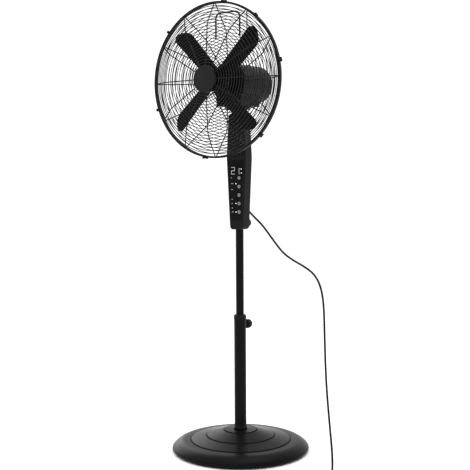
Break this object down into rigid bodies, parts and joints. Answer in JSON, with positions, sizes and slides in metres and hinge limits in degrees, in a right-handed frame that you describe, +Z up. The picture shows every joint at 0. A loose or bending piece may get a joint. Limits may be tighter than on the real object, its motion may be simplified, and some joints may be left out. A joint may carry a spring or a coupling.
{
  "type": "pedestal fan",
  "caption": "Free-standing pedestal fan with round black wire guard, four blades, push-button control column, height-adjustable pole and round weighted base.",
  "frame": {"origin": "On the floor at the centre of the round base, under the axis of the pole.", "axes": "+Z is up along the pole. The fan blows towards -Y. +X is to the right of someone facing its front."},
  "size_m": [0.5953, 0.4262, 1.2835],
  "materials": {
    "painted_steel": "semi-gloss black enamel",
    "base_plastic": "satin black moulded plastic",
    "black_plastic": "satin black moulded plastic",
    "panel_gloss": "gloss black printed panel",
    "smoked_window": "smoked clear display window",
    "lens": "clear moulded light pipe",
    "button_grey": "pale grey moulded plastic",
    "wire_black": "black powder-coated wire",
    "blade_plastic": "dark translucent moulded plastic",
    "badge_chrome": "gloss black disc with a bright edge",
    "collar_chrome": "gloss black moulded ring",
    "ballast_iron": "rough cast ballast",
    "plate_board": "pressed sheet under the base",
    "plain_steel": "zinc-plated steel",
    "bush_plastic": "moulded bush",
    "core_steel": "laminated motor steel",
    "winding": "enamelled copper windings",
    "cast_alloy": "die-cast end plate",
    "board_green": "green circuit board",
    "cord_rubber": "black flexible lead",
    "pin_brass": "plated plug pins",
    "gear_nylon": "white nylon gear"
  },
  "bodies": {
    "base": {"base_cover": "base_plastic", "base_plate": "plate_board", "base_weight": "ballast_iron", "foot_collar": "collar_chrome", "pole_foot": "plain_steel", "base_nut": "plain_steel", "outer_pole": "painted_steel", "pole_cap": "black_plastic", "clamp_boss": "black_plastic", "mains_cord": "cord_rubber", "cord_coil": "cord_rubber", "cord_tie": "black_plastic", "plug": "cord_rubber", "plug_pins": "pin_brass"},
    "height_knob": {"height_knob": "black_plastic"},
    "column": {"inner_pole": "painted_steel", "end_bush": "bush_plastic", "housing_front": "black_plastic", "housing_rear": "black_plastic", "pole_socket": "bush_plastic", "control_panel": "panel_gloss", "display_window": "smoked_window", "indicator_lenses": "lens", "control_board": "board_green", "housing_screws": "plain_steel", "strain_relief": "cord_rubber", "tilt_bolt": "plain_steel"},
    "housing_knob": {"housing_knob": "black_plastic"},
    "neck": {"tilt_neck": "black_plastic"},
    "head": {"motor_shell": "black_plastic", "motor_front_cover": "black_plastic", "swing_floor": "black_plastic", "swing_motor": "cast_alloy", "stator_core": "core_steel", "stator_windings": "winding", "motor_end_plate": "cast_alloy", "motor_bearings": "plain_steel", "rear_guard": "wire_black", "guard_nut": "black_plastic", "carry_handle": "wire_black", "front_guard": "wire_black", "badge": "badge_chrome", "rim_band": "black_plastic", "rim_lock": "black_plastic"},
    "pinion": {"swing_pinion": "gear_nylon"},
    "rotor": {"motor_shaft": "plain_steel", "motor_rotor": "core_steel", "fan_blade": "blade_plastic", "blade_nut": "black_plastic"},
    "button_1": {"button_1": "button_grey"},
    "button_2": {"button_2": "button_grey"},
    "button_3": {"button_3": "button_grey"},
    "button_4": {"button_4": "button_grey"},
    "button_5": {"button_5": "button_grey"},
    "clip_1": {"guard_clip_1": "black_plastic"},
    "clip_2": {"guard_clip_2": "black_plastic"},
    "clip_3": {"guard_clip_3": "black_plastic"},
    "clip_4": {"guard_clip_4": "black_plastic"},
    "clip_5": {"guard_clip_5": "black_plastic"},
    "clip_6": {"guard_clip_6": "black_plastic"}
  },
  "joints": [
    {"name": "height_slide", "type": "slide", "parent": "base", "child": "column", "axis": [0, 0, 1], "range_m": [-0.225, 0], "deforming": ["mains_cord"]},
    {"name": "height_knob_turn", "type": "hinge", "parent": "base", "child": "height_knob", "pos_m": [0, 0.0265, 0.367], "axis": [0, 1, 0], "range_deg": [0, 270]},
    {"name": "housing_knob_turn", "type": "hinge", "parent": "column", "child": "housing_knob", "pos_m": [0, 0.0225, 0.665], "axis": [0, 1, 0], "range_deg": [0, 270]},
    {"name": "head_tilt", "type": "hinge", "parent": "column", "child": "neck", "pos_m": [0, 0.002, 0.966], "axis": [-1, 0, 0], "range_deg": [-10, 20]},
    {"name": "head_swing", "type": "hinge", "parent": "neck", "child": "head", "pos_m": [0, -0.008, 0.999], "axis": [0, 0, 1], "range_deg": [-40, 40]},
    {"name": "pinion_spin", "type": "hinge", "parent": "head", "child": "pinion", "pos_m": [0, 0.025, 1.0018], "axis": [0, 0, 1], "range_deg": [-110, 110]},
    {"name": "blade_spin", "type": "hinge", "parent": "head", "child": "rotor", "pos_m": [0, -0.113, 1.066], "axis": [0, 1, 0], "continuous": true},
    {"name": "button_1_press", "type": "slide", "parent": "column", "child": "button_1", "axis": [0, 1, 0], "range_m": [0, 0.0012], "stiffness_N_per_m": 300},
    {"name": "button_2_press", "type": "slide", "parent": "column", "child": "button_2", "axis": [0, 1, 0], "range_m": [0, 0.0012], "stiffness_N_per_m": 300},
    {"name": "button_3_press", "type": "slide", "parent": "column", "child": "button_3", "axis": [0, 1, 0], "range_m": [0, 0.0012], "stiffness_N_per_m": 300},
    {"name": "button_4_press", "type": "slide", "parent": "column", "child": "button_4", "axis": [0, 1, 0], "range_m": [0, 0.0012], "stiffness_N_per_m": 300},
    {"name": "button_5_press", "type": "slide", "parent": "column", "child": "button_5", "axis": [0, 1, 0], "range_m": [0, 0.0012], "stiffness_N_per_m": 300},
    {"name": "clip_1_hinge", "type": "hinge", "parent": "head", "child": "clip_1", "pos_m": [0.03023, -0.1075, 1.28109], "axis": [-0.9903, 0, 0.1392], "range_deg": [0, 75]},
    {"name": "clip_2_hinge", "type": "hinge", "parent": "head", "child": "clip_2", "pos_m": [0.21284, -0.1075, 1.1093], "axis": [-0.1994, 0, 0.9799], "range_deg": [0, 75]},
    {"name": "clip_3_hinge", "type": "hinge", "parent": "head", "child": "clip_3", "pos_m": [0.15088, -0.1075, 0.90976], "axis": [0.7193, 0, 0.6947], "range_deg": [0, 75]},
    {"name": "clip_4_hinge", "type": "hinge", "parent": "head", "child": "clip_4", "pos_m": [-0.03772, -0.1075, 0.8521], "axis": [0.9848, 0, -0.1736], "range_deg": [0, 75]},
    {"name": "clip_5_hinge", "type": "hinge", "parent": "head", "child": "clip_5", "pos_m": [-0.2041, -0.1075, 0.99171], "axis": [0.342, 0, -0.9397], "range_deg": [0, 75]},
    {"name": "clip_6_hinge", "type": "hinge", "parent": "head", "child": "clip_6", "pos_m": [-0.16141, -0.1075, 1.21134], "axis": [-0.6691, 0, -0.7431], "range_deg": [0, 75]}
  ],
  "couplings": [
    {"joint": "pinion_spin", "follows": "head_swing", "ratio": 2.6667}
  ]
}
